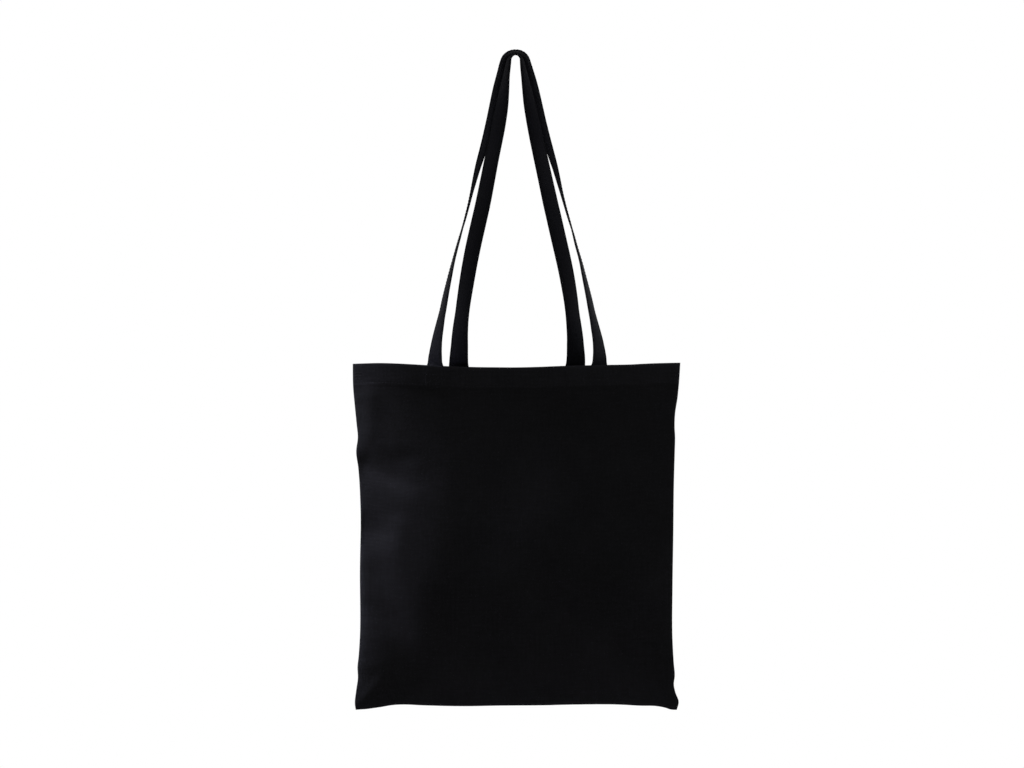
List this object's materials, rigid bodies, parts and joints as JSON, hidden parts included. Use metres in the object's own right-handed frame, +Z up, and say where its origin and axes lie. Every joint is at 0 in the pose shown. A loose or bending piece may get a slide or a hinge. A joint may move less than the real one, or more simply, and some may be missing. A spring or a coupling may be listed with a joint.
{
  "type": "canvas tote bag",
  "caption": "Flat open-topped canvas tote bag with a turned mouth hem, inside seams and long sewn-on strap handles that fold over the hem.",
  "frame": {"origin": "the point under the crest of the handles where a hook bears", "axes": "+Z up the hanging bag, X across its width, front towards -Y"},
  "size_m": [0.38, 0.06, 0.7649],
  "materials": {
    "canvas": "matt plain-weave cotton",
    "strap": "matt folded cotton canvas",
    "thread": "matt spun thread"
  },
  "bodies": {
    "bag": {"front_panel": "canvas", "back_panel": "canvas", "front_hem": "canvas", "back_hem": "canvas", "left_side_seam": "canvas", "right_side_seam": "canvas", "bottom_seam": "canvas", "front_left_strap_end": "strap", "front_right_strap_end": "strap", "back_left_strap_end": "strap", "back_right_strap_end": "strap", "front_hem_stitching": "thread", "back_hem_stitching": "thread", "front_left_box_stitch": "thread", "front_right_box_stitch": "thread", "back_left_box_stitch": "thread", "back_right_box_stitch": "thread", "left_seam_tack": "thread", "right_seam_tack": "thread"},
    "front_handle": {"front_strap": "strap", "front_strap_stitching": "thread"},
    "back_handle": {"back_strap": "strap", "back_strap_stitching": "thread"}
  },
  "joints": [
    {"name": "front_handle_fold", "type": "hinge", "parent": "bag", "child": "front_handle", "pos_m": [0, -0.0201, -0.362], "axis": [1, 0, 0], "range_deg": [0, 165]},
    {"name": "back_handle_fold", "type": "hinge", "parent": "bag", "child": "back_handle", "pos_m": [0, 0.0201, -0.362], "axis": [-1, 0, 0], "range_deg": [0, 165]}
  ]
}
